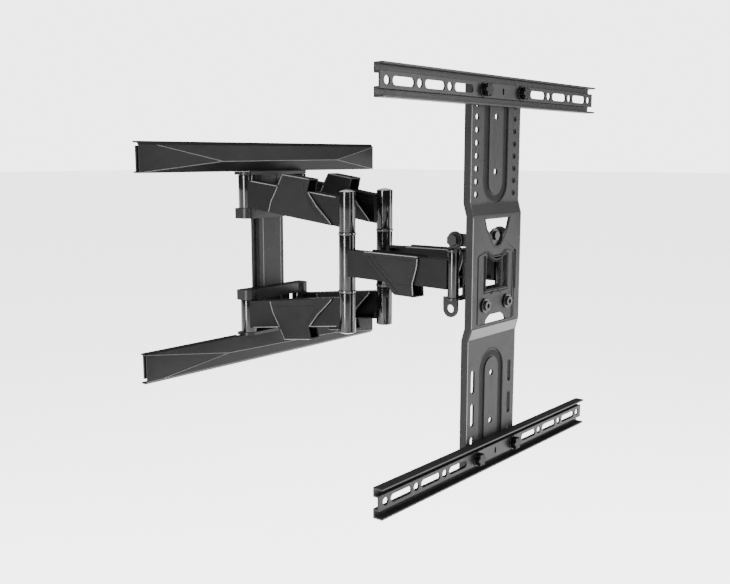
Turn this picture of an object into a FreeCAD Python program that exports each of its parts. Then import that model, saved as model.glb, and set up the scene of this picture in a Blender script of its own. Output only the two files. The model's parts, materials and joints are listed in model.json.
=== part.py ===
"""Full motion wall mount for a television: wall frame, two folding arms, tilting and levelling head.

Frame: the origin is the centre of the wall frame's back, on the wall plane (y = 0). +Z is up, the
television hangs on the -Y side, and the mount is symmetric left to right. Lengths are millimetres.
"""
import FreeCAD, Part
import os
import re

import Sketcher

Vector = FreeCAD.Vector
Rotation = FreeCAD.Rotation

document = FreeCAD.newDocument("tv_wall_mount")
sheet = document.addObject("Spreadsheet::Sheet", "Dimensions")

# Driving dimensions, in the order of the load path from the wall to the television.
DIMENSIONS = {
    # arms and pivots, seen from above
    "arm_reach": 164,
    "pivot_half": 48,
    "elbow_half": 36,
    "pivot_standoff": 14,
    "running_gap": 0.05,
    "axial_gap": 0.3,
    # wall frame
    "frame_height": 290.6,
    "cover_length": 426,
    "cover_height": 37.3,
    "cover_depth": 12.5,
    "cover_wall": 2,
    "cover_bevel": 4,
    "wall_steel": 3,
    "wall_rail_length": 420,
    "wall_rail_height": 30,
    "lag_half": 196,
    "lag_inner_half": 98,
    "lag_slot_length": 20,
    "lag_slot_radius": 4,
    "strip_width": 58,
    "channel_width": 44,
    "channel_depth": 6,
    # wall brackets and shoulders
    "bracket_box": 13.6,
    "bracket_plate": 4,
    "bracket_depth": 25,
    "bracket_recess": 4,
    "bracket_lobe": 11,
    "barrel_height": 42.5,
    "barrel_radius": 10.5,
    "bushing_wall": 1.5,
    "shoulder_pin_radius": 5,
    "pin_head_radius": 8,
    "pin_head_height": 2,
    # first arms
    "arm_width": 14,
    "arm_height": 36,
    "arm_wall": 2,
    "arm_seat": 5.5,
    # elbows
    "elbow_radius": 10,
    "elbow_barrel": 48.6,
    "elbow_shaft_radius": 7,
    "elbow_bore_radius": 8.4,
    "elbow_flange_radius": 11,
    "elbow_flange": 3,
    "elbow_sleeve": 15,
    "cap_rise": 2.4,
    # forearms
    "forearm_height": 32,
    "forearm_barrel_half": 33.6,
    # cable covers
    "saddle_wall": 2,
    "saddle_gap": 0.3,
    "duct_height": 15.5,
    "cover_near_low": 44,
    "cover_near_high": 61,
    "duct_near": 70,
    "duct_far": 113,
    "cover_far_high": 109,
    "cover_far_low": 148,
    "fore_duct_height": 11.5,
    "fore_near_high": 34,
    "fore_near_low": 85,
    "fore_far_high": 121,
    "fore_far_mid": 112,
    "fore_far_low": 115,
    # swivel bracket
    "lug_inner": 25,
    "head_steel": 2.5,
    "head_barrel_radius": 6.2,
    "head_pin_radius": 4,
    "head_lobe": 7,
    "web_setback": 9,
    "tilt_height": 38,
    "tilt_bolt_radius": 4,
    "tilt_head_radius": 6.8,
    "tilt_head_height": 4.4,
    "tilt_washer_radius": 8,
    "tilt_washer_height": 1.6,
    "tilt_nut_height": 6,
    "ear_inset": 3,
    "ear_radius": 9.5,
    "eyelet_radius": 4.5,
    # tilt plate and level bolts
    "head_drop": 4,
    "tilt_plate_inset": 8,
    "tongue_radius": 8,
    "level_height": 45,
    "level_bolt_half": 22.5,
    "level_bolt_drop": 30.4,
    "level_bolt_radius": 3,
    "level_head_radius": 5.5,
    "level_washer_radius": 8,
    "level_washer_height": 1.2,
    "level_head_height": 3,
    "level_socket_radius": 2.8,
    "level_socket_depth": 2,
    "level_nut_height": 3,
    "level_travel": 3.2,
    "thread_over": 1,
    # spine
    "spine_setback": 21,
    "spine_width": 100,
    "spine_length": 424,
    "spine_depth": 8.5,
    "spine_step": 4,
    "mid_top": 68,
    "mid_bottom": 53,
    "step_height": 14,
    "groove_depth": 1.2,
    "groove_half": 18.5,
    "groove_width": 9,
    "upper_bend": 104,
    "lower_bend": 106,
    "upper_hole_far": 174,
    "upper_hole_near": 115,
    "lower_hole_near": 110,
    "lower_hole_far": 166,
    "row_pitch": 13.6,
    "row_hole_radius": 3.3,
    "hook_half": 24.5,
    "hook_drop": 4,
    "hook_neck": 11,
    "window_top": 22,
    "window_low": 13,
    "panel_low": 51,
    "smile_half": 21,
    "smile_top": 12,
    "smile_height": 9,
    "side_slot_half": 23,
    "side_slot_rise": 4.5,
    "side_slot_radius": 2.5,
    "spine_slot_length": 26,
    "spine_slot_pitch": 38,
    # television rails
    "vesa_height": 400,
    "vesa_pitch": 50,
    "rail_length": 421,
    "rail_height": 31.5,
    "rail_web": 15.8,
    "rail_rise": 5.5,
    "rail_depth": 11.5,
    "rail_steel": 2,
    "rail_hole_radius": 4.15,
    "rail_slot_length": 33,
    "mark_slot_half": 3.5,
    "mark_slot_radius": 1.5,
    "overrun": 1,
    # rail screws
    "screw_inset": 12,
    "screw_radius": 3,
    "knob_radius": 5,
    "knob_lobe_radius": 2.2,
    "knob_height": 6,
    "washer_radius": 8,
    "washer_height": 1.4,
    "nut_radius": 5.8,
    "nut_height": 5,
}

# Places that follow from the driving dimensions.
DERIVED = {
    "lean": "asin((pivot_half - elbow_half) / arm_reach)",
    "arm_run": "sqrt(arm_reach ^ 2 - (pivot_half - elbow_half) ^ 2)",
    "elbow_y": "-(pivot_standoff + arm_run)",
    "head_y": "-(pivot_standoff + 2 * arm_run)",
    "frame_half": "frame_height / 2",
    "cover_low": "frame_half - cover_height",
    "plate_high": "cover_low - axial_gap",
    "plate_low": "plate_high - bracket_plate",
    "shoulder_high": "plate_low - axial_gap",
    "shoulder_low": "shoulder_high - barrel_height",
    "bracket_inner": "shoulder_low - axial_gap - bracket_box",
    "strip_half": "cover_low + cover_wall",
    "shoulder_bore": "shoulder_pin_radius + running_gap",
    "bushing_radius": "shoulder_bore + bushing_wall",
    "elbow_low": "forearm_barrel_half + elbow_flange + axial_gap",
    "elbow_high": "elbow_low + elbow_barrel",
    "elbow_hole": "elbow_shaft_radius + running_gap",
    "arm_drop": "shoulder_low - elbow_low - arm_seat",
    "lug_outer": "lug_inner + head_steel",
    "head_bore": "head_pin_radius + running_gap",
    "web_y": "head_y - web_setback",
    "head_z": "-head_drop",
    "spine_y": "head_y - spine_setback",
    "mid_y": "spine_y - spine_step",
    "tilt_front": "mid_y + head_steel + axial_gap",
    "tilt_back": "tilt_front + head_steel",
    "level_tip": "tilt_back + level_nut_height + thread_over",
    "ear_outer": "spine_width / 2 - ear_inset",
    "tilt_ear_outer": "ear_outer - head_steel - axial_gap",
    "tilt_plate_half": "spine_width / 2 - tilt_plate_inset",
    "screw_half": "spine_width / 2 - screw_inset",
    "tilt_nut_inner": "tilt_ear_outer - head_steel - axial_gap - tilt_nut_height",
    "level_z": "head_z + level_height",
    "level_bolt_z": "head_z - level_bolt_drop",
    "rail_half": "rail_height / 2",
    "web_half": "rail_web / 2",
    "rail_front": "rail_rise + rail_steel",
    "spine_window_top": "head_z + window_top",
    "spine_window_low": "head_z - window_low",
    "window_half": "level_bolt_half - 1.5",
    "fall_start": "bracket_lobe + arm_wall",
    "arm_slope": "arm_drop / (arm_reach - fall_start)",
    "web_half_width": "pivot_half - barrel_radius - axial_gap",
    "lug_web_half": "pivot_half - head_lobe - axial_gap",
}


def formula(text):
    """A size written with plain names becomes an expression on the sheet."""
    def expand(match):
        word = match.group(0)
        if word in DERIVED:
            return "(" + formula(DERIVED[word]) + ")"
        if word in DIMENSIONS:
            return "Dimensions." + word
        return word
    return re.sub(r"[a-z_]+", expand, str(text))


def bind(item, size, text):
    item.setExpression(size, formula(text))


def place(item, x=0, y=0, z=0):
    for axis, text in zip("xyz", (x, y, z)):
        bind(item, "Placement.Base." + axis, text)
    return item


def name(item, label):
    """Give a sub-part its name; it is written out under that name."""
    item.Label = label
    sub_parts.append(item)
    return item


sub_parts = []

for row, (alias, size) in enumerate(DIMENSIONS.items(), start=1):
    sheet.set("A%d" % row, alias)
    sheet.set("B%d" % row, str(size))
    sheet.setAlias("B%d" % row, alias)
document.recompute()


# Cutters for the windows only need to be deeper than the sheet.
WINDOW_CUT = 20
# counts of repeated features: holes and slots a side, knob lobes, and the pitches with a round rail hole
ROW_HOLES = 9
SPINE_SLOTS = 3
KNOB_LOBES = 6
FULL_TURN = 360
FIRST_PITCH = 2
LAST_PITCH = 4


# ---------------------------------------------------------------- building blocks

def box(x_span, y_span, z_span):
    """A block between two places along each axis."""
    item = document.addObject("Part::Box", "Block")
    for size, (low, high) in zip(("Length", "Width", "Height"), (x_span, y_span, z_span)):
        bind(item, size, "(%s) - (%s)" % (high, low))
    return place(item, x_span[0], y_span[0], z_span[0])


def both(half):
    """The span from -half to +half."""
    return "-(%s)" % half, half


TURN = {"x": Rotation(Vector(0, 1, 0), 90), "y": Rotation(Vector(1, 0, 0), -90), "z": Rotation()}


def along(item, axis, centre, span):
    """Stand a turned shape on an axis: centre is its place across the axis, span its two ends."""
    low, high = span
    bind(item, "Height", "(%s) - (%s)" % (high, low))
    item.Placement = FreeCAD.Placement(Vector(), TURN[axis])
    first, second = centre
    spots = {"x": (low, first, second), "y": (first, low, second), "z": (first, second, low)}
    return place(item, *spots[axis])


def cylinder(axis, centre, radius, span):
    item = document.addObject("Part::Cylinder", "Rod")
    bind(item, "Radius", radius)
    return along(item, axis, centre, span)


def hexagon(axis, centre, radius, span):
    item = document.addObject("Part::Prism", "Hexagon")
    item.Polygon = 6
    bind(item, "Circumradius", radius)
    return along(item, axis, centre, span)


def fuse(*items):
    if len(items) == 1:
        return items[0]
    item = document.addObject("Part::MultiFuse", "Joined")
    item.Shapes = list(items)
    return item


def cut(base, *tools):
    item = document.addObject("Part::Cut", "Pierced")
    item.Base = base
    item.Tool = fuse(*tools)
    return item


def group(*items):
    """Separate solids that share one sub-part, such as a set of screws."""
    item = document.addObject("Part::Compound", "Set")
    item.Links = list(items)
    return item


def mirror(item, axis):
    """The same shape on the other side of the mount."""
    other = document.addObject("Part::Mirroring", "Mirrored")
    other.Source = item
    other.Base = Vector()
    other.Normal = {"x": Vector(1, 0, 0), "z": Vector(0, 0, 1)}[axis]
    return other


def profile(plane, points, width, centre=0):
    """A pad of a straight-sided outline, centred on its plane and shifted across it."""
    body = document.addObject("PartDesign::Body", "Body")
    sketch = body.newObject("Sketcher::SketchObject", "Outline")
    origin_plane = [item for item in body.Origin.OriginFeatures if item.Role == plane][0]
    sketch.AttachmentSupport = [(origin_plane, "")]
    sketch.MapMode = "FlatFace"
    count = len(points)
    start = [Vector(index, index * index, 0) for index in range(count)]
    for index in range(count):
        sketch.addGeometry(Part.LineSegment(start[index], start[(index + 1) % count]), False)
    for index in range(count):
        sketch.addConstraint(Sketcher.Constraint("Coincident", index, 2, (index + 1) % count, 1))
    for index, corner in enumerate(points):
        for kind, text in zip(("DistanceX", "DistanceY"), corner):
            number = sketch.addConstraint(Sketcher.Constraint(kind, -1, 1, index, 1, 1.0))
            bind(sketch, "Constraints[%d]" % number, text)
    pad = body.newObject("PartDesign::Pad", "Pad")
    pad.Profile = sketch
    pad.Midplane = True
    bind(pad, "Length", width)
    shift = {"YZ_Plane": "x", "XZ_Plane": "y", "XY_Plane": "z"}[plane]
    bind(body, "Placement.Base." + shift, centre)
    return body


def slot(axis, centre, half_length, radius, span, run=0):
    """A round-ended cutter; run says which of the two cross directions it is long in."""
    ends = []
    for side in ("-", "+"):
        spot = list(centre)
        spot[run] = "(%s) %s (%s)" % (centre[run], side, half_length)
        ends.append(cylinder(axis, spot, radius, span))
    widths = [radius, radius]
    widths[run] = half_length
    across = [("(%s) - (%s)" % (c, w), "(%s) + (%s)" % (c, w)) for c, w in zip(centre, widths)]
    spans = {"x": (span, *across), "y": (across[0], span, across[1]), "z": (*across, span)}
    return fuse(box(*spans[axis]), *ends)


# ---------------------------------------------------------------- wall frame

def wall_rail():
    """Flat steel rail with slots for the wall screws, at the top of the frame."""
    low, high = "strip_half", "strip_half + wall_rail_height"
    through = ("-wall_steel - overrun", "overrun")
    plate = box(both("wall_rail_length / 2"), ("-wall_steel", 0), (low, high))
    middle = "strip_half + wall_rail_height / 2"
    flat = "lag_slot_length / 2 - lag_slot_radius"
    slots = [slot("y", (x, middle), flat, "lag_slot_radius", through)
             for x in ("-lag_half", "lag_half", "-lag_inner_half", "lag_inner_half")]
    return cut(plate, *slots)


def wall_back_plate():
    """Upright strip between the rails with a raised channel between the brackets."""
    channel = ("-(wall_steel + channel_depth)", "-wall_steel")
    rise = both("bracket_inner")
    inside = both("channel_width / 2 - head_steel")
    strip = box(both("strip_width / 2"), ("-wall_steel", 0), both("strip_half"))
    hat = box(both("channel_width / 2"), channel, rise)
    hollow = box(inside, ("head_steel - wall_steel - channel_depth", 1), rise)
    return cut(fuse(strip, hat), hollow)


def bracket_outline(z_span, half_width, recess=0):
    """The bracket's plan shape: a bar with a round lobe at each shoulder."""
    bar = box(both("pivot_half"), ("%s - bracket_depth" % recess, "-wall_steel"), z_span)
    root = box(both(half_width), ("-pivot_standoff", "-wall_steel"), z_span)
    lobes = [cylinder("z", (x, "-pivot_standoff"), "bracket_lobe", z_span)
             for x in ("-pivot_half", "pivot_half")]
    return fuse(bar, root, *lobes)


def wall_bracket():
    """Welded clevis: outer plate, inner box and the web that joins them behind the arms."""
    half_width = "pivot_half + bracket_lobe"
    web = box(both("web_half_width"), ("-wall_steel - head_steel", "-wall_steel"),
              ("bracket_inner", "plate_high"))
    plate = bracket_outline(("plate_low", "plate_high"), half_width)
    shell = bracket_outline(("bracket_inner", "shoulder_low - axial_gap"), half_width, "bracket_recess")
    room = box(both("pivot_half - bracket_lobe"),
               ("bracket_recess + head_steel - bracket_depth", "-wall_steel - head_steel"),
               ("bracket_inner + head_steel", "shoulder_low"))
    tools = [room]
    for x in ("-pivot_half", "pivot_half"):
        spot = (x, "-pivot_standoff")
        tools.append(cylinder("z", spot, "shoulder_bore",
                              ("bracket_inner + head_steel", "plate_high + overrun")))
        tools.append(cylinder("z", spot, "pin_head_radius + axial_gap",
                              ("plate_high - pin_head_height", "plate_high + overrun")))
    return cut(fuse(web, plate, shell), *tools)


def wall_cover():
    """Plastic shell over a wall rail, open at the back and at both ends."""
    front = "-cover_depth"
    outline = [(front, "cover_low"), (0, "cover_low"), (0, "frame_half"),
               ("cover_bevel - cover_depth", "frame_half"), (front, "frame_half - cover_bevel")]
    inner_low, inner_high = "cover_low + cover_wall", "frame_half - cover_wall"
    inner_front = "cover_wall - cover_depth"
    inside = [(inner_front, inner_low), (1, inner_low), (1, inner_high),
              ("cover_bevel - cover_depth + cover_wall / 2", inner_high),
              (inner_front, "frame_half - cover_bevel - cover_wall / 2")]
    shell = profile("YZ_Plane", outline, "cover_length")
    hollow = profile("YZ_Plane", inside, "cover_length + 2")
    notch = box(both("pivot_half + bracket_lobe + cover_wall"), ("-wall_steel - head_steel - axial_gap", 1),
                ("cover_low - overrun", "strip_half"))
    return cut(shell, hollow, notch)


# ---------------------------------------------------------------- arms, about the left shoulder

def arm_line(along_arm, rise):
    """A point beside a first arm: its distance from the shoulder and its rise above the arm's lower edge."""
    return "-(%s)" % along_arm, "shoulder_low - arm_slope * ((%s) - fall_start) + (%s)" % (along_arm, rise)


def first_arm():
    """Pressed channel, open on its inner side, between a shoulder barrel and an elbow barrel."""
    top = "arm_height - arm_wall"
    far = "arm_reach - elbow_radius - arm_wall"
    side = [(0, "shoulder_low"), (0, "shoulder_low + arm_height"), arm_line("fall_start", "arm_height"),
            arm_line("arm_reach", "arm_height"), arm_line("arm_reach", 0), arm_line("fall_start", 0)]
    inside = [arm_line("fall_start", "arm_wall"), arm_line("fall_start", top), arm_line(far, top),
              arm_line(far, "arm_wall")]
    channel = profile("YZ_Plane", side, "arm_width")
    opening = profile("YZ_Plane", inside, "arm_width - arm_wall + overrun", "(arm_wall + 1) / 2")
    shoulder = cylinder("z", (0, 0), "barrel_radius", ("shoulder_low", "shoulder_high"))
    elbow = cylinder("z", (0, "-arm_reach"), "elbow_radius", ("elbow_low", "elbow_high"))
    shoulder_hole = cylinder("z", (0, 0), "bushing_radius",
                             ("shoulder_low - overrun", "shoulder_high + overrun"))
    elbow_hole = cylinder("z", (0, "-arm_reach"), "elbow_hole",
                          ("elbow_low - overrun", "elbow_high + overrun"))
    return cut(fuse(cut(channel, opening), shoulder, elbow), shoulder_hole, elbow_hole)


def saddle(outline, inside):
    """Plastic cable cover: a skin over both sides of an arm that bulges into an open-ended duct."""
    width = "arm_width + 2 * saddle_gap"
    skin = profile("YZ_Plane", outline, "%s + 2 * saddle_wall" % width)
    hollow = profile("YZ_Plane", inside, width)
    return cut(skin, hollow)


def first_arm_cover():
    top = "arm_height + duct_height"
    roof = "arm_height + duct_height - saddle_wall"
    over = "arm_height + saddle_gap"
    outline = [arm_line("cover_near_low", 0), arm_line("cover_near_high", "arm_height + saddle_wall"),
               arm_line("duct_near", top), arm_line("duct_far", top),
               arm_line("cover_far_high", "arm_height"), arm_line("cover_far_low", 0)]
    inside = [arm_line(0, "-arm_height"), arm_line(0, over), arm_line("cover_near_high", over),
              arm_line("duct_near + saddle_wall", roof), arm_line("arm_reach", roof),
              arm_line("arm_reach", "-arm_height")]
    return saddle(outline, inside)


def forearm():
    """Level pressed channel between the elbow tube and the slim tube on the head pivot."""
    half = "forearm_height / 2"
    channel = box(both("arm_width / 2"), ("head_bore - arm_reach", 0), both(half))
    opening = box(("arm_wall - arm_width / 2", "arm_width"),
                  ("head_barrel_radius + arm_wall - arm_reach", "-(elbow_radius + arm_wall)"),
                  both("%s - arm_wall" % half))
    elbow = cylinder("z", (0, 0), "elbow_radius", both("forearm_barrel_half"))
    wrist = cylinder("z", (0, "-arm_reach"), "head_barrel_radius", both("lug_inner - axial_gap"))
    elbow_hole = cylinder("z", (0, 0), "elbow_bore_radius", both("forearm_barrel_half + overrun"))
    wrist_hole = cylinder("z", (0, "-arm_reach"), "head_bore", both("lug_inner"))
    return cut(fuse(cut(channel, opening), elbow, wrist), elbow_hole, wrist_hole)


def forearm_cover():
    half = "forearm_height / 2"
    top = "%s + saddle_wall" % half
    duct = "-(%s + fore_duct_height + saddle_wall)" % half
    floor = "-(%s + fore_duct_height)" % half
    under = "-(%s + saddle_gap)" % half
    outline = [("-fore_near_high", half), ("-fore_near_high - saddle_wall", top), ("-fore_far_high", top),
               ("-fore_far_mid", under), ("-fore_far_low", duct), ("-fore_near_low", duct)]
    inside = [(0, "2 * forearm_height"), (0, under), ("saddle_wall - fore_near_low", under),
              ("-fore_near_low - saddle_wall", floor), ("-arm_reach", floor),
              ("-arm_reach", "2 * forearm_height")]
    return saddle(outline, inside)


def elbow_shaft():
    return cylinder("z", (0, 0), "elbow_shaft_radius", both("elbow_high - axial_gap"))


def elbow_bushing():
    """Flanged sleeve in the end of the forearm's elbow tube."""
    sleeve = cylinder("z", (0, 0), "elbow_bore_radius",
                      ("forearm_barrel_half - elbow_sleeve", "forearm_barrel_half"))
    flange = cylinder("z", (0, 0), "elbow_flange_radius",
                      ("forearm_barrel_half", "forearm_barrel_half + elbow_flange"))
    hole = cylinder("z", (0, 0), "elbow_hole", both("elbow_high"))
    return cut(fuse(sleeve, flange), hole)


def elbow_cap():
    """Domed end cap: the top of a sphere that meets the barrel at its rim."""
    globe = document.addObject("Part::Sphere", "Dome")
    ball = "(elbow_radius ^ 2 + cap_rise ^ 2) / (2 * cap_rise)"
    bind(globe, "Radius", ball)
    bind(globe, "Angle1", "asin((%s - cap_rise) / (%s))" % (ball, ball))
    return at_elbow(globe, "elbow_high - (%s) + cap_rise" % ball)


def shoulder_bushing():
    sleeve = cylinder("z", (0, 0), "bushing_radius", ("shoulder_low", "shoulder_high"))
    hole = cylinder("z", (0, 0), "shoulder_bore", ("shoulder_low - overrun", "shoulder_high + overrun"))
    return cut(sleeve, hole)


def shoulder_pin():
    low = "bracket_inner + head_steel + axial_gap"
    shank = cylinder("z", (0, 0), "shoulder_pin_radius", (low, "plate_high"))
    head = cylinder("z", (0, 0), "pin_head_radius",
                    ("plate_high - pin_head_height + running_gap", "plate_high"))
    return fuse(shank, head)


def turn_to_elbow(item, sign):
    """Turn an arm shape from straight ahead to its lean between a pivot and an elbow."""
    item.Placement = FreeCAD.Placement(Vector(), Rotation(Vector(0, 0, 1), 10))
    bind(item, "Placement.Rotation.Angle", "%s lean" % sign)
    return item


def at_shoulder(item):
    return place(turn_to_elbow(item, "+"), "-pivot_half", "-pivot_standoff")


def at_elbow(item, z=0):
    return place(item, "-elbow_half", "elbow_y", z)


# ---------------------------------------------------------------- head

def swivel_bracket():
    """Bent steel bracket with the two head pivots, tilt ears above and eyelets below."""
    tip = "pivot_half"
    flange_y = ("web_y", "head_y + web_setback / 2")
    parts = [box(both("lug_web_half"), ("web_y", "web_y + head_steel"), both("lug_outer"))]
    tools = [box(both("pivot_half - 2 * head_lobe - head_steel"), ("web_y - overrun", "head_y"),
                 both("lug_inner - 3 * head_steel"))]
    for low, high in (("lug_inner", "lug_outer"), ("-lug_outer", "-lug_inner")):
        parts.append(box(both(tip), flange_y, (low, high)))
        for x in ("-pivot_half", "pivot_half"):
            parts.append(cylinder("z", (x, "head_y"), "head_lobe", (low, high)))
            tools.append(cylinder("z", (x, "head_y"), "head_bore",
                                  ("%s - overrun" % low, "%s + overrun" % high)))
    for low, high in (("ear_outer - head_steel", "ear_outer"), ("-ear_outer", "head_steel - ear_outer")):
        ear = (low, high)
        parts.append(cylinder("x", ("head_y", "tilt_height"), "ear_radius", ear))
        parts.append(box(ear, ("head_y - ear_radius + head_steel", "head_y + ear_radius - head_steel"),
                         ("lug_inner", "tilt_height")))
        parts.append(cylinder("x", ("head_y + eyelet_radius", "-tilt_height"), "ear_radius", ear))
        parts.append(box(ear, ("head_y + eyelet_radius - ear_radius", "head_y + eyelet_radius + ear_radius"),
                         ("-tilt_height + head_steel", "-lug_inner")))
        cutter = ("%s - overrun" % low, "%s + overrun" % high)
        tools.append(cylinder("x", ("head_y", "tilt_height"), "tilt_bolt_radius", cutter))
        tools.append(cylinder("x", ("head_y + eyelet_radius", "-tilt_height"), "eyelet_radius", cutter))
    return cut(fuse(*parts), *tools)


def head_pin(x):
    return cylinder("z", (x, "head_y"), "head_pin_radius", both("lug_outer"))


def tilt_bolt():
    """Right-hand tilt bolt: hexagon head and washer outside, nut inside."""
    centre = ("head_y", "tilt_height")
    seat = "ear_outer + tilt_washer_height"
    head = hexagon("x", centre, "tilt_head_radius", (seat, "%s + tilt_head_height" % seat))
    washer = cylinder("x", centre, "tilt_washer_radius", ("ear_outer", seat))
    shank = cylinder("x", centre, "tilt_bolt_radius", ("tilt_nut_inner - thread_over", seat))
    return fuse(head, washer, shank)


def tilt_nut():
    centre = ("head_y", "tilt_height")
    nut = hexagon("x", centre, "tilt_head_radius", ("tilt_nut_inner", "tilt_nut_inner + tilt_nut_height"))
    return cut(nut, cylinder("x", centre, "tilt_bolt_radius", ("tilt_nut_inner - overrun", "ear_outer")))


def tilt_plate():
    """Plate behind the spine: two tilt ears, a tongue for the level pivot and a window."""
    across = ("tilt_front", "tilt_back")
    top = "tilt_height + ear_radius - head_steel"
    low_edge = "level_bolt_z - level_washer_radius"
    shoulders = "spine_window_top + head_steel"
    parts = [box(both("tilt_plate_half"), across, (low_edge, shoulders)),
             cylinder("y", (0, "level_z"), "tongue_radius", across),
             box(both("tongue_radius"), across, ("head_z", "level_z"))]
    tools = [box(both("window_half"), ("tilt_front - overrun", "tilt_back + overrun"),
                 ("spine_window_low", "spine_window_top")),
             cylinder("y", (0, "level_z"), "level_bolt_radius",
                      ("tilt_front - overrun", "tilt_back + overrun"))]
    for sign in "-+":
        outer, inner = "%s tilt_ear_outer" % sign, "%s (tilt_ear_outer - head_steel)" % sign
        ear = (outer, inner) if sign == "-" else (inner, outer)
        wing = (outer, "%s (window_half + 2 * head_steel)" % sign)
        parts.append(box(wing if sign == "-" else wing[::-1], across, (shoulders, top)))
        parts.append(box(ear, ("tilt_front", "head_y"),
                         ("tilt_height - ear_radius + head_steel", top)))
        parts.append(cylinder("x", ("head_y", "tilt_height"), "ear_radius - head_steel", ear))
        tools.append(cylinder("x", ("head_y", "tilt_height"), "tilt_bolt_radius + running_gap",
                              ("%s - overrun" % ear[0], "%s + overrun" % ear[1])))
        tools.append(cylinder("y", ("%s level_bolt_half" % sign, "level_bolt_z"), "level_bolt_radius",
                              ("tilt_front - overrun", "tilt_back + overrun")))
    return cut(fuse(*parts), *tools)


def level_bolt(x, z):
    """Bolt through the tilt plate, with its washer and socket head on the television's side."""
    face = "mid_y - axial_gap"
    seat = "%s - level_washer_height" % face
    top = "%s - level_head_height" % seat
    washer = cylinder("y", (x, z), "level_washer_radius", (seat, face))
    head = cylinder("y", (x, z), "level_head_radius", (top, seat))
    shank = cylinder("y", (x, z), "level_bolt_radius", (seat, "level_tip"))
    socket = hexagon("y", (x, z), "level_socket_radius",
                     ("%s - overrun" % top, "%s + level_socket_depth" % top))
    return cut(fuse(washer, head, shank), socket)


def pivot_bolt():
    """Bolt in the tongue, about which the spine is levelled."""
    spot = (0, "level_z")
    head = hexagon("y", spot, "level_head_radius", ("tilt_front - level_head_height", "tilt_front"))
    shank = cylinder("y", spot, "level_bolt_radius", ("tilt_front - level_head_height", "level_tip"))
    return fuse(head, shank)


def level_nut(x, z):
    nut = hexagon("y", (x, z), "level_head_radius", ("tilt_back", "tilt_back + level_nut_height"))
    return cut(nut, cylinder("y", (x, z), "level_bolt_radius", ("tilt_back - overrun", "level_tip")))


def spine_line(offset, top_gap=0):
    """Side view of the spine's face, from top to bottom, moved back by an offset."""
    upper, middle = "spine_y + (%s)" % offset, "mid_y + (%s)" % offset
    end = "spine_length / 2 + (%s)" % top_gap
    heights = [(upper, end), (upper, "mid_top + step_height"), (middle, "mid_top"),
               (middle, "-mid_bottom"), (upper, "-(mid_bottom + step_height)"), (upper, "-(%s)" % end)]
    return [(y, "head_z + %s" % z) for y, z in heights]


def hairpin(sign, bend, reach):
    """Stamped U groove: its round end is at the bend and its legs run to the reach."""
    def tongue(radius, margin):
        ends = ("head_z %s (%s)" % (sign, bend), "head_z %s (%s)" % (sign, reach))
        span = ends if sign == "+" else ends[::-1]
        y_span = ("spine_y - overrun - %s" % margin, "spine_y + groove_depth + %s" % margin)
        return fuse(box(both(radius), y_span, span), cylinder("y", (0, ends[0]), radius, y_span))

    return cut(tongue("groove_half + groove_width / 2", 0), tongue("groove_half - groove_width / 2", 1))


def spine():
    """Stamped centre column: side flanges, forward middle, grooves, hole rows and windows."""
    solid = profile("YZ_Plane", spine_line(0) + spine_line("spine_depth")[::-1], "spine_width")
    inside = profile("YZ_Plane", spine_line("head_steel", 1) + spine_line("spine_depth + overrun", 1)[::-1],
                     "spine_width - 2 * head_steel")
    through = ("mid_y - overrun", "spine_y + head_steel + overrun")
    rail_z = "vesa_height / 2"
    tools = [inside, hairpin("+", "upper_bend", "spine_length"), hairpin("-", "lower_bend", "spine_length")]
    for x in ("-screw_half", "screw_half"):
        for index in range(ROW_HOLES):
            tools.append(cylinder("y", (x, "head_z + %s - %d * row_pitch" % (rail_z, index)),
                                  "row_hole_radius", through))
        for index in range(SPINE_SLOTS):
            centre = "head_z - %s + spine_slot_length / 2 - row_hole_radius + %d * spine_slot_pitch" % (
                rail_z, index)
            tools.append(slot("y", (x, centre), "spine_slot_length / 2 - row_hole_radius",
                              "row_hole_radius", through, run=1))
    for z in ("+ upper_hole_far", "+ upper_hole_near", "- lower_hole_near", "- lower_hole_far"):
        tools.append(cylinder("y", (0, "head_z %s" % z), "row_hole_radius", through))
    # hook window: wide at the top and round about the level pivot
    hook_top, hook_side = "head_z + mid_top - hook_drop", "level_z + tongue_radius"
    tools.append(profile("XZ_Plane", [("-hook_half", hook_top), ("hook_half", hook_top),
                                      ("hook_half - hook_drop", hook_side), ("hook_neck", "level_z"),
                                      ("-hook_neck", "level_z"), ("hook_drop - hook_half", hook_side)],
                         WINDOW_CUT, "mid_y"))
    tools.append(cylinder("y", (0, "level_z"), "hook_neck", through))
    # centre window, side slot and the sunk panel about them
    tools.append(box(both("window_half"), through, ("spine_window_low", "spine_window_top")))
    tools.append(slot("y", ("screw_half", "head_z + side_slot_rise"), "side_slot_half - side_slot_radius",
                      "side_slot_radius", through, run=1))
    tools.append(box(both("screw_half - hook_drop"), ("mid_y - overrun", "mid_y + groove_depth / 2"),
                     ("head_z - panel_low", "spine_window_top + head_steel")))
    # clearance about the two lock bolts, so that the spine can turn a little
    for x in ("-level_bolt_half", "level_bolt_half"):
        tools.append(slot("y", (x, "level_bolt_z"), "level_travel", "level_bolt_radius + level_travel / 2",
                          through))
    # lower opening with its narrow side up
    low, shoulder = "head_z - panel_low", "head_z - panel_low + smile_height / 2"
    high = "head_z - panel_low + smile_height"
    tools.append(profile("XZ_Plane",
                         [("-smile_half", low), ("smile_half", low), ("smile_half - 2", shoulder),
                                      ("smile_top", high), ("-smile_top", high), ("2 - smile_half",
                                                                                  shoulder)],
                         WINDOW_CUT, "mid_y"))
    return cut(solid, *tools)


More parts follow.
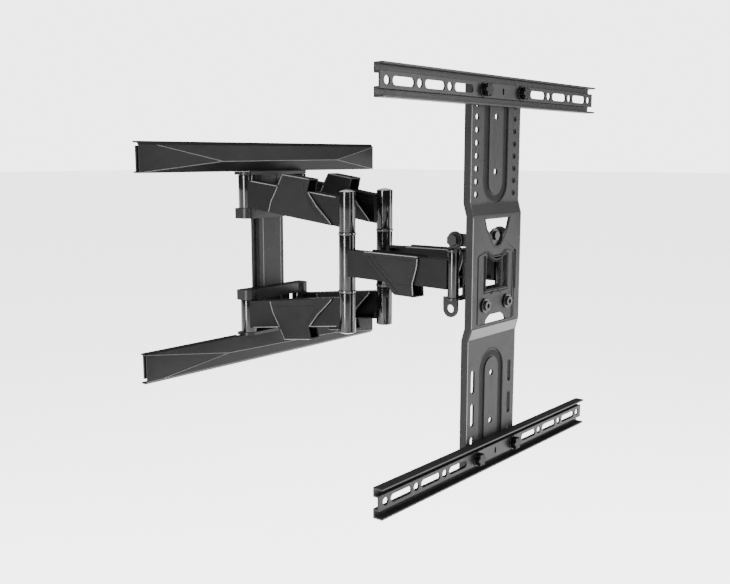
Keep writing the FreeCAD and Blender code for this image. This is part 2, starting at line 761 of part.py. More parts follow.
def tv_rail():
    """Rolled rail: lips on the spine, a raised web with the screw slots, and two forward flanges."""
    steel = "rail_steel"
    half = [("-rail_depth", "rail_half"), (0, "rail_half"), (0, "web_half - rail_steel"),
            ("-rail_rise", "web_half - rail_steel")]
    front = [("-rail_front", "web_half"), ("-rail_steel", "web_half"),
             ("-rail_steel", "rail_half - %s" % steel), ("-rail_depth", "rail_half - %s" % steel)]

    def below(points):
        return [(y, "-(%s)" % z) for y, z in points]

    outline = half + below(half)[::-1] + below(front)[::-1] + front
    bar = profile("YZ_Plane", outline, "rail_length")
    through = ("-rail_front - overrun", "overrun")
    tools = []
    for sign in "-+":
        for index in range(FIRST_PITCH, LAST_PITCH + 1):
            tools.append(cylinder("y", ("%s %d * vesa_pitch" % (sign, index), 0), "rail_hole_radius",
                                  through))
            middle = "%s (%d + 0.5) * vesa_pitch" % (sign, index - 1)
            tools.append(slot("y", (middle, 0), "rail_slot_length / 2 - rail_hole_radius",
                              "rail_hole_radius", through))
        tools.append(cylinder("y", ("%s screw_half" % sign, 0), "screw_radius", through))
    tools.append(slot("y", (0, 0), "mark_slot_half - mark_slot_radius", "mark_slot_radius", through, run=1))
    return cut(bar, *tools)


def rail_screw(x, z):
    """Lobed hand knob on a screw through the rail's web and the spine."""
    seat = "spine_y - rail_front - washer_height"
    knob = ("%s - knob_height" % seat, seat)
    parts = [cylinder("y", (x, z), "knob_radius", knob),
             cylinder("y", (x, z), "screw_radius",
                      (seat, "spine_y + head_steel + nut_height + thread_over"))]
    for index in range(KNOB_LOBES):
        swing = "%d" % (index * FULL_TURN // KNOB_LOBES)
        spot = ("%s + knob_radius * cos(%s)" % (x, swing), "%s + knob_radius * sin(%s)" % (z, swing))
        parts.append(cylinder("y", spot, "knob_lobe_radius", knob))
    return fuse(*parts)


def rail_washer(x, z):
    seat = "spine_y - rail_front"
    disc = cylinder("y", (x, z), "washer_radius", ("%s - washer_height" % seat, seat))
    return cut(disc,
               cylinder("y", (x, z), "screw_radius", ("%s - washer_height - overrun" % seat, "spine_y")))


def rail_nut(x, z):
    back = "spine_y + head_steel"
    nut = hexagon("y", (x, z), "nut_radius", (back, "%s + nut_height" % back))
    return cut(nut, cylinder("y", (x, z), "screw_radius", ("spine_y", "%s + nut_height + overrun" % back)))


# ---------------------------------------------------------------- assembly

def four_ways(build, stem):
    """Left and right, upper and lower copies of an upper left shape."""
    upper_left = name(build(), "left_upper_" + stem)
    name(mirror(upper_left, "x"), "right_upper_" + stem)
    lower_left = name(mirror(upper_left, "z"), "left_lower_" + stem)
    name(mirror(lower_left, "x"), "right_lower_" + stem)


def two_ways(item, stem):
    """Left and right copies of a left shape."""
    name(item, "left_" + stem)
    name(mirror(item, "x"), "right_" + stem)


def up_and_down(item, stem):
    """Upper and lower copies of an upper shape."""
    name(item, "upper_" + stem)
    name(mirror(item, "z"), "lower_" + stem)


def pair(item):
    return group(item, mirror(item, "z"))


up_and_down(wall_rail(), "wall_rail")
name(wall_back_plate(), "wall_back_plate")
up_and_down(wall_bracket(), "wall_bracket")
up_and_down(wall_cover(), "wall_cover")

four_ways(lambda: at_shoulder(first_arm()), "arm")
four_ways(lambda: at_shoulder(first_arm_cover()), "arm_cover")
two_ways(pair(at_shoulder(shoulder_bushing())), "shoulder_bushings")
two_ways(pair(at_shoulder(shoulder_pin())), "shoulder_pins")
two_ways(at_elbow(elbow_shaft(), "axial_gap - elbow_high"), "elbow_shaft")
two_ways(pair(elbow_cap()), "elbow_caps")
two_ways(pair(at_elbow(elbow_bushing())), "elbow_bushings")
two_ways(at_elbow(turn_to_elbow(forearm(), "-")), "forearm")
two_ways(at_elbow(turn_to_elbow(forearm_cover(), "-")), "forearm_cover")
two_ways(head_pin("-pivot_half"), "head_pin")

name(swivel_bracket(), "swivel_bracket")
name(group(tilt_bolt(), mirror(tilt_bolt(), "x")), "tilt_bolts")
name(group(tilt_nut(), mirror(tilt_nut(), "x")), "tilt_nuts")
name(tilt_plate(), "tilt_plate")
name(group(*[level_bolt(x, "level_bolt_z") for x in ("-level_bolt_half", "level_bolt_half")]),
     "level_lock_bolts")
name(group(*[level_nut(x, "level_bolt_z") for x in ("-level_bolt_half", "level_bolt_half")]),
     "level_lock_nuts")
name(pivot_bolt(), "level_pivot_bolt")
name(level_nut(0, "level_z"), "level_pivot_nut")

name(spine(), "spine")
rail_spots = []
for label, sign in (("upper", "+"), ("lower", "-")):
    centre = "head_z %s vesa_height / 2" % sign
    name(place(tv_rail(), 0, "spine_y", centre), label + "_tv_rail")
    rail_spots += [(x, centre) for x in ("-screw_half", "screw_half")]
name(group(*[rail_screw(x, z) for x, z in rail_spots]), "rail_screws")
name(group(*[rail_washer(x, z) for x, z in rail_spots]), "rail_washers")
name(group(*[rail_nut(x, z) for x, z in rail_spots]), "rail_nuts")


# ---------------------------------------------------------------- check and write

document.recompute()
for item in document.Objects:
    faults = {"Invalid", "Error"} & set(item.State)
    if faults:
        raise RuntimeError("%s (%s) did not build" % (item.Name, item.Label))
for item in sub_parts:
    if item.Shape.isNull() or not item.Shape.isValid():
        raise RuntimeError("%s has no sound shape" % item.Label)

os.makedirs("parts", exist_ok=True)
for item in sub_parts:
    item.Shape.exportStep("parts/%s.step" % item.Label)
    print("%-28s %2d solid(s) %10.0f mm3" % (item.Label, len(item.Shape.Solids), item.Shape.Volume))
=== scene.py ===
"""Looks for the folding television wall mount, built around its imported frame."""
import json
import math

import bmesh
import bpy
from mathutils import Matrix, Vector


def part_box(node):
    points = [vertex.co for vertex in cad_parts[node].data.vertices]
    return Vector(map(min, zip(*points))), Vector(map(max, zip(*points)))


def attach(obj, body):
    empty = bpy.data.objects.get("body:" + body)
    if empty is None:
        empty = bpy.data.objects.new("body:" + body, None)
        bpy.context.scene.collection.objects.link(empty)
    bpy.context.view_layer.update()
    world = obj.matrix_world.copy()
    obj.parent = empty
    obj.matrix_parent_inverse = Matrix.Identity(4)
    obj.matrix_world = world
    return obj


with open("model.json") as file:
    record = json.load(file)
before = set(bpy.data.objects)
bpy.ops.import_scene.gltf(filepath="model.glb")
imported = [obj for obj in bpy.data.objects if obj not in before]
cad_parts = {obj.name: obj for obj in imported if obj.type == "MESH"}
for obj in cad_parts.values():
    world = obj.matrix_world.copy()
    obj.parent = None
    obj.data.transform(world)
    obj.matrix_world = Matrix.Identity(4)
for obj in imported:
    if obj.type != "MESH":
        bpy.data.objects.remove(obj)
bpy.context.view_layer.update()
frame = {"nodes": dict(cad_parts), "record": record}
nodes = frame["nodes"]


# ------------------------------------------------------------------ materials

# The blotches' noise scale, how far they lighten or darken a colour, and how far the gloss wanders
BLOTCH, SPREAD, GLOSS_SWING = 40, 0.18, 0.07
GRAIN_DEPTH = 0.00012


def coated(name, colour, roughness, grain=0.25, grain_scale=1400, coat=0.0, metallic=0.0, specular=0.5):
    """Coated metal or moulded plastic: a fine grain, soft blotches and uneven gloss."""
    material = bpy.data.materials.new(name)
    material.use_nodes = True
    tree = material.node_tree
    shader = tree.nodes["Principled BSDF"]
    shader.inputs["Metallic"].default_value = metallic
    shader.inputs["Specular IOR Level"].default_value = specular
    shader.inputs["Coat Weight"].default_value = coat
    shader.inputs["Coat Roughness"].default_value = 0.08
    place = tree.nodes.new("ShaderNodeTexCoord")

    def noise(scale, detail):
        texture = tree.nodes.new("ShaderNodeTexNoise")
        texture.inputs["Scale"].default_value = scale
        texture.inputs["Detail"].default_value = detail
        tree.links.new(place.outputs["Object"], texture.inputs["Vector"])
        return texture.outputs["Fac"]

    ramp = tree.nodes.new("ShaderNodeValToRGB")
    low, high = 1 - SPREAD, 1 + SPREAD
    ramp.color_ramp.elements[0].position = 0.3
    ramp.color_ramp.elements[1].position = 0.7
    ramp.color_ramp.elements[0].color = [c * low for c in colour] + [1]
    ramp.color_ramp.elements[1].color = [min(1, c * high) for c in colour] + [1]
    tree.links.new(noise(BLOTCH, 4), ramp.inputs["Fac"])
    tree.links.new(ramp.outputs["Color"], shader.inputs["Base Color"])

    gloss = tree.nodes.new("ShaderNodeMapRange")
    gloss.inputs["To Min"].default_value = max(0.03, roughness - GLOSS_SWING)
    gloss.inputs["To Max"].default_value = roughness + GLOSS_SWING
    tree.links.new(noise(BLOTCH * 3, 3), gloss.inputs["Value"])
    tree.links.new(gloss.outputs["Result"], shader.inputs["Roughness"])

    bump = tree.nodes.new("ShaderNodeBump")
    bump.inputs["Strength"].default_value = grain
    bump.inputs["Distance"].default_value = GRAIN_DEPTH
    tree.links.new(noise(grain_scale, 2), bump.inputs["Height"])
    tree.links.new(bump.outputs["Normal"], shader.inputs["Normal"])
    return material


LOOKS = {
    "frame_steel": coated("frame_steel_look", (0.006, 0.006, 0.00618), 0.42, specular=0.12),
    "bracket_steel": coated("bracket_steel_look", (0.004, 0.004, 0.00412), 0.33, specular=0.14),
    "wall_cover_plastic": coated("wall_cover_look", (0.0035, 0.0035, 0.00361), 0.4, 0.35, 1700,
                                 specular=0.11),
    "arm_steel": coated("arm_steel_look", (0.0028, 0.0028, 0.00288), 0.36, 0.3, 1200, specular=0.1),
    "cable_cover_plastic": coated("cable_cover_look", (0.0045, 0.0045, 0.00463), 0.42, 0.4, 1800,
                                  specular=0.1),
    "bushing_nylon": coated("bushing_look", (0.003, 0.003, 0.0032), 0.13, 0.05, 600, specular=0.4,
                            coat=0.3),
    "pin_steel": coated("pin_look", (0.003, 0.003, 0.0032), 0.1, 0.04, 500, specular=0.4, coat=0.4),
    "cap_plastic": coated("cap_look", (0.16, 0.16, 0.162), 0.24, 0.08, 900, coat=0.4),
    "head_steel": coated("head_steel_look", (0.004, 0.004, 0.00412), 0.28, specular=0.2),
    "bolt_steel": coated("bolt_look", (0.004, 0.004, 0.0041), 0.26, 0.15, 900, metallic=0.15, specular=0.3),
    "spine_steel": coated("spine_look", (0.0048, 0.0048, 0.00494), 0.42, 0.3, 1300, specular=0.12),
    "rail_steel": coated("rail_look", (0.007, 0.007, 0.00721), 0.38, 0.25, 1300, specular=0.14),
    "knob_plastic": coated("knob_look", (0.0015, 0.0015, 0.0016), 0.42, 0.3, 1500, specular=0.1),
}

slots = {part["node"]: part["material_slot"] for part in frame["record"]["subparts"]}


# In metres: points nearer than this are one, and the edge rounding of bent sheet and of the rest
SAME_POINT, SHEET_EDGE, PLAIN_EDGE = 0.000002, 0.00025, 0.0004


def soften(piece, width, sheet):
    """Round the edges of a mesh without touching its points. Merging flat faces would tear bent sheet."""
    weld = piece.modifiers.new("weld", "WELD")
    weld.merge_threshold = SAME_POINT
    if not sheet:
        flat = piece.modifiers.new("flat", "DECIMATE")
        flat.decimate_type = "DISSOLVE"
        flat.angle_limit = math.radians(0.4)
    bevel = piece.modifiers.new("bevel", "BEVEL")
    bevel.width = SHEET_EDGE if sheet else width
    bevel.segments = 2
    bevel.limit_method = "ANGLE"
    bevel.angle_limit = math.radians(32)
    bevel.use_clamp_overlap = not sheet
    bevel.miter_outer = "MITER_ARC"
    normals = piece.modifiers.new("normals", "WEIGHTED_NORMAL")
    normals.keep_sharp = True
    normals.weight = 60


EDGES = {"wall_cover_plastic": 0.0006, "cable_cover_plastic": 0.0005, "knob_plastic": 0.0004,
         "bolt_steel": 0.0003, "pin_steel": 0.0003, "bushing_nylon": 0.0006, "cap_plastic": 0.0003}
SHEETS = ("spine", "upper_tv_rail", "lower_tv_rail", "swivel_bracket", "tilt_plate", "upper_wall_rail",
          "lower_wall_rail", "wall_back_plate")

for label, item in nodes.items():
    slot = slots[label]
    item.data.materials.clear()
    item.data.materials.append(LOOKS[slot])
    for polygon in item.data.polygons:
        polygon.use_smooth = True
    if item.data.attributes.get("custom_normal"):
        item.data.attributes.remove(item.data.attributes["custom_normal"])
    soften(item, EDGES.get(slot, PLAIN_EDGE), label in SHEETS)


# ------------------------------------------------------------------ pieces of the builder's own

MM_PER_M = 1000


def add_mesh(name, points, faces, body, slot, look=None, bevel=0.0):
    """A new piece from points in millimetres, riding on a body."""
    made = bpy.data.meshes.new(name)
    made.from_pydata([Vector(p) / MM_PER_M for p in points], [], faces)
    work = bmesh.new()
    work.from_mesh(made)
    bmesh.ops.recalc_face_normals(work, faces=work.faces)
    work.to_mesh(made)
    work.free()
    made.materials.append(look or LOOKS[slot])
    piece = bpy.data.objects.new(name, made)
    bpy.context.scene.collection.objects.link(piece)
    if bevel:
        for polygon in made.polygons:
            polygon.use_smooth = True
        edge = piece.modifiers.new("bevel", "BEVEL")
        edge.width = bevel / MM_PER_M
        edge.segments = 2
        edge.limit_method = "ANGLE"
        edge.angle_limit = math.radians(20)
        piece.modifiers.new("normals", "WEIGHTED_NORMAL")
    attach(piece, body)
    return piece


# How far a raised line reaches into its face in mm, then its foot and crest as shares of its width,
# and its rounding as a share of its width or height
BEAD_ROOT, BEAD_FOOT, BEAD_CREST, BEAD_EASE = 0.3, 0.9, 0.45, 0.12


def bead(name, path, normal, width, height, body, slot, look=None):
    """A raised line along a path: a low ridge with a flat crest, closed at both ends."""
    normal = Vector(normal).normalized()
    path = [Vector(p) for p in path]
    rings = []
    for index, point in enumerate(path):
        back = path[max(index - 1, 0)]
        ahead = path[min(index + 1, len(path) - 1)]
        run = (ahead - back).normalized()
        side = run.cross(normal).normalized()
        sunk = -BEAD_ROOT * normal
        half, crest = side * width / 2, side * width / 2 * BEAD_CREST
        foot = half * BEAD_FOOT
        rings.append([point - half + sunk, point - foot, point - crest + normal * height,
                      point + crest + normal * height, point + foot, point + half + sunk])
    points = [p for ring in rings for p in ring]
    count = len(rings[0])
    faces = []
    for ring in range(len(rings) - 1):
        for index in range(count):
            following = (index + 1) % count
            faces.append((ring * count + index, ring * count + following, (ring + 1) * count + following,
                          (ring + 1) * count + index))
    faces.append(tuple(range(count)))
    faces.append(tuple((len(rings) - 1) * count + index for index in range(count)))
    add_mesh(name, points, faces, body, slot, look, bevel=min(width, height) * BEAD_EASE)


# How far a raised field reaches into its face, in mm
PANEL_ROOT = 0.25


def panel(name, outline, normal, thickness, body, slot, look=None, bevel=0.25):
    """A flat raised field with rounded edges, standing on a face."""
    normal = Vector(normal).normalized()
    base = [Vector(p) - normal * PANEL_ROOT for p in outline]
    top = [Vector(p) + normal * thickness for p in outline]
    count = len(outline)
    faces = [tuple(range(count)), tuple(range(count, 2 * count))]
    for index in range(count):
        following = (index + 1) % count
        faces.append((index, following, count + following, count + index))
    add_mesh(name, base + top, faces, body, slot, look, bevel)


def arc(centre, radius, start, end, steps, plane_y):
    """Points on an arc in the plane of the spine, in degrees from +X towards +Z."""
    points = []
    for step in range(steps + 1):
        turn = math.radians(start + (end - start) * step / steps)
        points.append((centre[0] + radius * math.cos(turn), plane_y, centre[1] + radius * math.sin(turn)))
    return points


def sleeve(name, centre, radius, low, high, body, slot, look):
    """A thin polished skin round an upright barrel, with its two rims eased and sunk in the barrel."""
    steps, skin, rim, sunk, ease = 72, 0.16, 0.02, 0.3, 0.5
    rings = [(radius - sunk, low), (radius + rim, low), (radius + skin, low + ease),
             (radius + skin, high - ease), (radius + rim, high), (radius - sunk, high)]
    points = []
    for reach, z in rings:
        for step in range(steps):
            turn = math.tau * step / steps
            points.append((centre[0] + reach * math.cos(turn), centre[1] + reach * math.sin(turn), z))
    faces = []
    for ring in range(len(rings)):
        upper = (ring + 1) % len(rings)
        for step in range(steps):
            after = (step + 1) % steps
            faces.append((ring * steps + step, ring * steps + after, upper * steps + after,
                          upper * steps + step))
    piece = add_mesh(name, points, faces, body, slot, look)
    for polygon in piece.data.polygons:
        polygon.use_smooth = True


def edges_of(label):
    """The lowest and highest corners of a node's box, in millimetres."""
    low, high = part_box(label)
    return low * MM_PER_M, high * MM_PER_M


# ------------------------------------------------------------------ wall covers

# A light grey for painted highlights along edges, folds and ridges.
PAINTED_HIGHLIGHT = coated("painted_highlight_look", (0.07, 0.07, 0.0715), 0.26, 0.2, 1500)
# A near black for painted shade in grooves and beside ridges.
SHADE = coated("painted_shade_look", (0.0015, 0.0015, 0.0016), 0.5, 0.2, 1500, specular=0.06)
# A grey lighter than the parts, for painted highlights along facet borders, folds and the lower spine bend.
LINE = coated("painted_highlight_line_look", (0.018, 0.018, 0.0185), 0.32, 0.2, 1500)

# Two raised points in front of each cover, joined to its corners, give it four facets
low, high = edges_of("upper_wall_cover")
FRONT = low.y
CREST_RISE = 4.5
for label, flip, near, far in (("upper_wall_cover", 1, (-90, 121), (125, 122.5)),
                               ("lower_wall_cover", -1, (-87, 126), (117, 130))):
    base, crest = FRONT - 0.02, FRONT - CREST_RISE
    top, bottom = high.z - 4.4, low.z + 0.7
    end = high.x - 0.4
    spots = [(-end, base, bottom), (end, base, bottom), (end, base, top), (-188, base, top),
             (-end, base, top), (near[0], crest, near[1]), (far[0], crest, far[1])]
    lines = {"groove": [spots[3], spots[5], spots[6], spots[2]], "corner": [spots[0], spots[5]],
             "end": [spots[6], spots[1]]}
    # The lines along the facet borders take a lighter look: painted highlights on the edges.
    for tag, ends in lines.items():
        bead("%s_%s" % (label, tag), [(x, y - 0.1, z * flip) for x, y, z in ends], (0, -1, 0), 1.3, 0.45,
             "wall_mount", "wall_cover_plastic", LINE)
    back = [(x, FRONT + 0.6, z) for x, y, z in spots[:5]]
    points = [(x, y, z * flip) for x, y, z in spots + back]
    faces = [(3, 5, 6, 2), (4, 0, 5, 3), (0, 1, 6, 5), (1, 2, 6)]
    faces += [(index, (index + 1) % 5, 7 + (index + 1) % 5, 7 + index) for index in range(5)]
    faces.append((7, 8, 9, 10, 11))
    add_mesh(label + "_facets", points, faces, "wall_mount", "wall_cover_plastic", bevel=0.5)
    # centre tab under the cover's edge
    tab_y, tab_root, tab_foot = FRONT + 0.4, low.z + 0.5, low.z - 2.6
    tab = [(-41, tab_y, tab_root), (67, tab_y, tab_root), (62, tab_y, tab_foot), (-36, tab_y, tab_foot)]
    panel(label + "_tab", [(x, y, z * flip) for x, y, z in tab], (0, -1, 0), 0.5, "wall_mount",
          "wall_cover_plastic")

# two folds up the back plate, lighter than the plate: painted highlights
low, high = edges_of("wall_back_plate")
for name, share in (("left", 0.24), ("right", 0.8)):
    x = low.x + (high.x - low.x) * share
    bead("back_plate_line_" + name, [(x, low.y, low.z + 4), (x, low.y, high.z - 4)], (0, -1, 0), 1.4, 0.4,
         "wall_mount", "frame_steel", LINE)


# ------------------------------------------------------------------ arms and their covers

# Pivots and sizes in mm, on the right side of the mount
ARM_REACH = 164
SHOULDER, ELBOW = (48, -14), (36, -177.56)
LEAN = math.asin((SHOULDER[0] - ELBOW[0]) / ARM_REACH)
# From an arm's middle to the face of its cover, and to its own face
COVER_FACE, ARM_FACE = 9.3, 7.0
# The first arm's lower edge starts level and then falls towards the elbow
ARM_LOW, FALL_START, SLOPE = 60.9, 13, 18.5 / 151


def beside(side, along, rise, off, link="arm"):
    """A point beside an arm: distance from its inner pivot, height, and offset to its outer side."""
    x0, y0 = SHOULDER if link == "arm" else ELBOW
    lean = LEAN if link == "arm" else -LEAN
    x = -x0 + along * math.sin(lean) - off * math.cos(lean)
    y = y0 - along * math.cos(lean) - off * math.sin(lean)
    return (-x if side == "right" else x, y, rise)


def outward(side, off, link="arm"):
    """The direction from an arm's inner side to its outer side."""
    along = 50
    return Vector(beside(side, along, 0, off + 1, link)) - Vector(beside(side, along, 0, off, link))


def on_arm(side, pairs, flip, off):
    """Points beside a first arm, from distances along it and heights over its lower edge.

    A flip of -1 mirrors them onto the lower arm.
    """
    return [beside(side, along, (ARM_LOW - SLOPE * (along - FALL_START) + rise) * flip, off)
            for along, rise in pairs]


# Lines on a first arm's cover: points as (distance from the shoulder, height over the arm's lower edge),
# then the line's width, height and look
# Lines in the pale highlight look are painted highlights on the cover's ridges and edges.
UPPER_LINES = {
    "ridge_a": ([(111, 34.5), (124, 20), (144, 4), (146.5, 1.2)], 1.1, 0.6, PAINTED_HIGHLIGHT),
    "ridge_b": ([(104, 34.5), (117, 19), (136, 3.5), (139, 1.2)], 1.2, 0.5, None),
    "near_line": ([(46, 1), (50, 14), (61.5, 34.5)], 1.1, 0.45, PAINTED_HIGHLIGHT),
    "top_line": ([(63, 37.6), (70, 50.8), (112.5, 50.8)], 1.0, 0.35, PAINTED_HIGHLIGHT),
}
UPPER_FIELD = [(55, 8), (66, 33), (72, 47), (104, 47), (104, 38), (113, 20), (127, 8)]
UPPER_EDGE = [(14, 34.9), (152, 34.9)]
FIELD_RISE = 0.35

for side in ("left", "right"):
    for level, flip in (("upper", 1), ("lower", -1)):
        body = side + "_arm"
        for face in (1, -1):
            tag = "%s_%s_arm_%s_" % (side, level, "outer" if face > 0 else "inner")
            out = outward(side, COVER_FACE * face)

            for line, (pairs, width, height, look) in UPPER_LINES.items():
                spots = on_arm(side, pairs, flip, COVER_FACE * face)
                bead(tag + line, spots, out, width, height, body, "cable_cover_plastic", look)
            spots = on_arm(side, UPPER_FIELD, flip, COVER_FACE * face)
            panel(tag + "field", spots, out, FIELD_RISE, body, "cable_cover_plastic")
            if face > 0:
                # a painted highlight along the arm's upper edge
                spots = on_arm(side, UPPER_EDGE, flip, ARM_FACE * face)
                bead(tag + "upper_edge", spots, out, 1.2, 0.3, body, "arm_steel", PAINTED_HIGHLIGHT)

# The same for a forearm's cover, with points as (distance from the elbow, height over the arm's middle).
# Its field is a flat panel and has no line width
# Its top and far lines carry painted highlights.
FORE_LINES = {
    "ridge_a": ([(42, 13), (52, 3), (80, -18), (90, -27)], 1.5, 0.7, None),
    "ridge_b": ([(52, 13), (62, 2), (84, -15), (92, -18)], 1.3, 0.5, None),
    "top_line": ([(38, 16.6), (120, 16.6)], 1.3, 0.4, PAINTED_HIGHLIGHT),
    "far_line": ([(119.6, 14.5), (119, 6), (116, -4), (112.6, -14), (113.5, -27)], 1.2, 0.5, PAINTED_HIGHLIGHT),
    "field": ([(66, 12), (114, 12), (113, 2), (109, -8), (108, -16), (94, -16), (72, 2)], 0, FIELD_RISE,
              None),
    "fold": ([(86, -16.6), (112, -16.6)], 1.0, 0.35, None),
}

for side in ("left", "right"):
    body = side + "_forearm"
    for face in (1, -1):
        tag = "%s_forearm_%s_" % (side, "outer" if face > 0 else "inner")
        off = COVER_FACE * face
        out = outward(side, off, "fore")
        for line, (pairs, width, height, look) in FORE_LINES.items():
            spots = [beside(side, along, rise, off, "fore") for along, rise in pairs]
            if line == "field":
                panel(tag + line, spots, out, height, body, "cable_cover_plastic")
            else:
                bead(tag + line, spots, out, width, height, body, "cable_cover_plastic", look)


# ------------------------------------------------------------------ polished barrels

GLOSS = coated("gloss_black_look", (0.002, 0.002, 0.0021), 0.15, 0.03, 500, specular=0.26, coat=0.1)
# Each barrel's centre, radius and heights, in mm
SHOULDER_AXIS, ELBOW_AXIS, WRIST_AXIS = (48, -14), (36, -177.562), (48, -341.124)
ELBOW_RADIUS, ELBOW_LOW, ELBOW_HIGH, FOREARM_HALF = 10, 36.9, 85.5, 33.6
SHOULDER_RADIUS, SHOULDER_LOW, SHOULDER_HIGH = 10.5, 60.9, 103.4
HEAD_RADIUS, HEAD_HALF = 6.2, 24.7
SKINS = (("upper_elbow", ELBOW_AXIS, ELBOW_RADIUS, ELBOW_LOW, ELBOW_HIGH, "arm"),
         ("lower_elbow", ELBOW_AXIS, ELBOW_RADIUS, -ELBOW_HIGH, -ELBOW_LOW, "arm"),
         ("forearm_elbow", ELBOW_AXIS, ELBOW_RADIUS, -FOREARM_HALF, FOREARM_HALF, "forearm"),
         ("upper_shoulder", SHOULDER_AXIS, SHOULDER_RADIUS, SHOULDER_LOW, SHOULDER_HIGH, "arm"),
         ("lower_shoulder", SHOULDER_AXIS, SHOULDER_RADIUS, -SHOULDER_HIGH, -SHOULDER_LOW, "arm"),
         ("head", WRIST_AXIS, HEAD_RADIUS, -HEAD_HALF, HEAD_HALF, "forearm"))
for side, sign in (("left", -1), ("right", 1)):
    for name, (x, y), radius, low, high, body in SKINS:
        sleeve("%s_%s_skin" % (side, name), (sign * x, y), radius, low, high, "%s_%s" % (side, body),
               "arm_steel", GLOSS)


# ------------------------------------------------------------------ spine

low, high = edges_of("spine")
# The faces of the forward middle, of the sunk panel in it, and of the two ends, along y
MID = low.y
PANEL = MID + 0.6
FLAT = MID + 4.0
NORMAL = (0, -1, 0)
SMILE_CENTRE, LEVEL_PIVOT = (0, 39), (0, 41)


def spine_bead(name, path, width, height, look=None):
    """A raised line on the spine's front."""
    bead(name, path, NORMAL, width, height, "screen_frame", "spine_steel", look)


def at(y, *pairs):
    """Points in an upright plane, from pairs across and up."""
    return [(x, y, z) for x, z in pairs]


# folds down both sides, with painted highlights along them
for side, x in (("left", -48.9), ("right", 48.9)):
    spine_bead("spine_fold_mid_" + side, at(MID, (x, 63), (x, -57)), 1.3, 0.3, PAINTED_HIGHLIGHT)
    spine_bead("spine_fold_upper_" + side, at(FLAT, (x, 78.5), (x, 181)), 1.2, 0.25, PAINTED_HIGHLIGHT)
    spine_bead("spine_fold_lower_" + side, at(FLAT, (x, -71.5), (x, -186)), 1.2, 0.25, PAINTED_HIGHLIGHT)

# borders of the sunk panel
for side, x in (("left", -37.2), ("right", 37.2)):
    spine_bead("spine_panel_edge_" + side, at(MID, (x, 20), (x, -54)), 1.5, 0.55)
spine_bead("spine_panel_top", at(MID, (-36.6, 20.6), (-24, 24), (-16, 24), (-9, 18.6), (9, 18.6), (16, 24),
                                 (24, 24), (36.6, 20.6)), 1.8, 0.8)
# the smile-shaped ridge over the window
spine_bead("spine_smile", arc(SMILE_CENTRE, 24, 218, 322, 18, MID), 2.4, 1.1)
# raised border of the centre window, and lines of painted shade beside it, the ridge and the panel
window = at(PANEL, (-22.6, 20), (-22.6, -18.6), (22.6, -18.6), (22.6, 20))
spine_bead("spine_window_border", window, 2.2, 1.3)
spine_bead("spine_window_shade", at(PANEL, (-25, 20), (-25, -21), (25, -21), (25, 20)), 1.9, 0.3, SHADE)
spine_bead("spine_smile_shade", arc(SMILE_CENTRE, 26, 218, 322, 18, MID), 1.3, 0.35, SHADE)
spine_bead("spine_panel_shade", at(MID, (-38.7, 20), (-38.7, -54)), 1.1, 0.25, SHADE)
# ribs from the window's foot towards the two lock bolts, and rims on the bolts' washers
spine_bead("spine_rib_left", at(PANEL, (-5, -20), (-10, -22.6)), 1.6, 0.9)
spine_bead("spine_rib_right", at(PANEL, (5, -20), (10, -22.6)), 1.6, 0.9)
for side, x in (("left", -22.5), ("right", 22.5)):
    path = arc((x, -34.4), 7.15, 0, 360, 36, PANEL - 1.2)
    bead("lock_ring_" + side, path, NORMAL, 1.2, 0.35, "tilt_head", "bolt_steel")
# border of the hook window
path = (at(MID, (-26.2, 61.5), (-21.5, 48)) + arc(LEVEL_PIVOT, 12.6, 205, 335, 16, MID)
        + at(MID, (21.5, 48), (26.2, 61.5)))
spine_bead("spine_hook_border", path, 1.4, 0.5)
# thin fields on the two bends; the lower one is lighter, a painted highlight on that bend
for level, front_z, back_z in (("upper", 64.4, 77.2), ("lower", -58.4, -70.4)):
    facing = Vector((1, 0, 0)).cross(Vector((0, MID - FLAT, front_z - back_z)))
    if facing.y > 0:
        facing = -facing
    panel("spine_bend_" + level, [(-47.5, MID, front_z), (47.5, MID, front_z), (47.5, FLAT, back_z),
                                  (-47.5, FLAT, back_z)], facing, 0.2, "screen_frame", "spine_steel",
          LINE if level == "lower" else None, 0.1)
# rims of the hairpin grooves, and painted shade along their floors
GROOVE_HALF, GROOVE_DEPTH, RIM_HALF, SHADE_BAND_WIDTH = 18.5, 1.2, 24.0, 7.2
for level, centre_z, sign in (("upper", 100, 1), ("lower", -110, -1)):
    start, end = (180, 360) if sign > 0 else (180, 0)
    far = 181 if sign > 0 else -186
    path = (at(FLAT, (-RIM_HALF, far)) + arc((0, centre_z), RIM_HALF, start, end, 24, FLAT)
            + at(FLAT, (RIM_HALF, far)))
    spine_bead("spine_groove_rim_" + level, path, 1.3, 0.4)
    trough = FLAT + GROOVE_DEPTH
    path = (at(trough, (-GROOVE_HALF, far)) + arc((0, centre_z), GROOVE_HALF, start, end, 24, trough)
            + at(trough, (GROOVE_HALF, far)))
    spine_bead("spine_groove_floor_" + level, path, SHADE_BAND_WIDTH, 0.12, SHADE)


# ------------------------------------------------------------------ stage, light and camera

FLOOR_Z, FLOOR_HALF = -0.62, 40
mesh = bpy.data.meshes.new("floor")
corners = [(-FLOOR_HALF, -FLOOR_HALF, FLOOR_Z), (FLOOR_HALF, -FLOOR_HALF, FLOOR_Z),
           (FLOOR_HALF, FLOOR_HALF, FLOOR_Z), (-FLOOR_HALF, FLOOR_HALF, FLOOR_Z)]
mesh.from_pydata(corners, [], [(0, 1, 2, 3)])
floor = bpy.data.objects.new("floor", mesh)
bpy.context.scene.collection.objects.link(floor)
paint = bpy.data.materials.new("floor_paint")
paint.use_nodes = True
shader = paint.node_tree.nodes["Principled BSDF"]
shader.inputs["Base Color"].default_value = (0.9, 0.9, 0.9, 1)
shader.inputs["Roughness"].default_value = 0.9
shader.inputs["Emission Color"].default_value = (1, 1, 1, 1)
shader.inputs["Emission Strength"].default_value = 3.0
mesh.materials.append(paint)


CENTRE = (0, -0.2, 0)


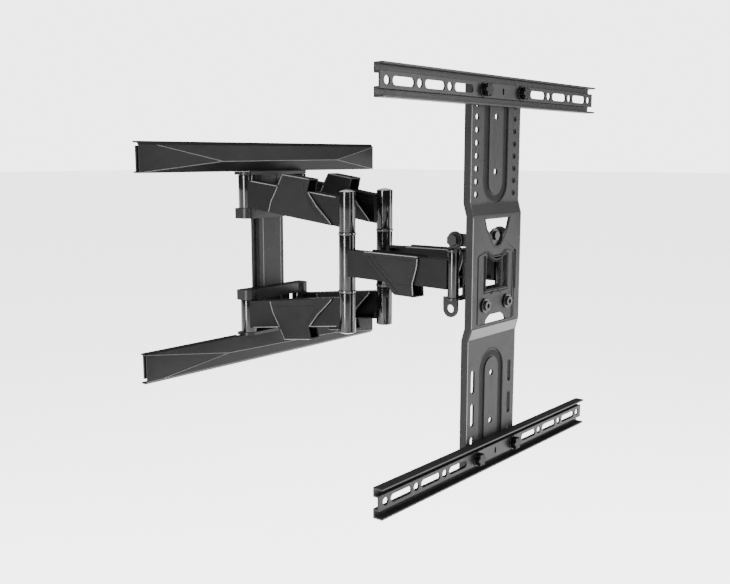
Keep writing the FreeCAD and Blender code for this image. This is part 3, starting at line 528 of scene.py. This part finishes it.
def lamp(name, spot, size, power, tall=None):
    """An area light facing the middle of the mount, in metres and watts."""
    light = bpy.data.lights.new(name, "AREA")
    light.shape = "RECTANGLE"
    light.size = size
    light.size_y = tall or size
    light.energy = power
    item = bpy.data.objects.new(name, light)
    item.location = spot
    item.rotation_euler = (Vector(CENTRE) - Vector(spot)).to_track_quat("-Z", "Y").to_euler()
    bpy.context.scene.collection.objects.link(item)


lamp("key_light", (-1.0, -2.0, 1.3), 0.8, 36)
lamp("side_strip", (-1.95, -0.25, 0.25), 0.36, 110, 1.7)
lamp("near_strip", (-0.4, -2.2, 0.25), 0.35, 16, 1.7)
lamp("right_strip", (1.3, -1.7, 0.2), 0.5, 40, 1.7)
lamp("top_light", (-0.1, -0.2, 1.9), 1.2, 70)

# the camera sees a bright backdrop, while the object is lit by a dim room
world = bpy.data.worlds.new("studio")
bpy.context.scene.world = world
world.use_nodes = True
sky = world.node_tree
backdrop = sky.nodes["Background"]
backdrop.inputs["Color"].default_value = (1, 1, 1, 1)
backdrop.inputs["Strength"].default_value = 4.1
room = sky.nodes.new("ShaderNodeBackground")
room.inputs["Color"].default_value = (0.97, 0.98, 1, 1)
room.inputs["Strength"].default_value = 0.15
seen = sky.nodes.new("ShaderNodeLightPath")
blend = sky.nodes.new("ShaderNodeMixShader")
sky.links.new(seen.outputs["Is Camera Ray"], blend.inputs[0])
sky.links.new(room.outputs[0], blend.inputs[1])
sky.links.new(backdrop.outputs[0], blend.inputs[2])
sky.links.new(blend.outputs[0], sky.nodes["World Output"].inputs["Surface"])

# The focal length and width of the photograph in pixels, and the sensor's width in mm
FOCAL, WIDTH, SENSOR = 893.84, 730, 36
PITCH_DOWN, HEADING = 8.65, -49.974
camera = bpy.data.cameras.new("camera")
camera.sensor_width = SENSOR
camera.lens = FOCAL / WIDTH * SENSOR
view = bpy.data.objects.new("camera", camera)
view.location = (-0.84708, -0.88680, 0.12771)
view.rotation_euler = (math.radians(90 - PITCH_DOWN), 0, math.radians(HEADING))
bpy.context.scene.collection.objects.link(view)
bpy.context.scene.camera = view
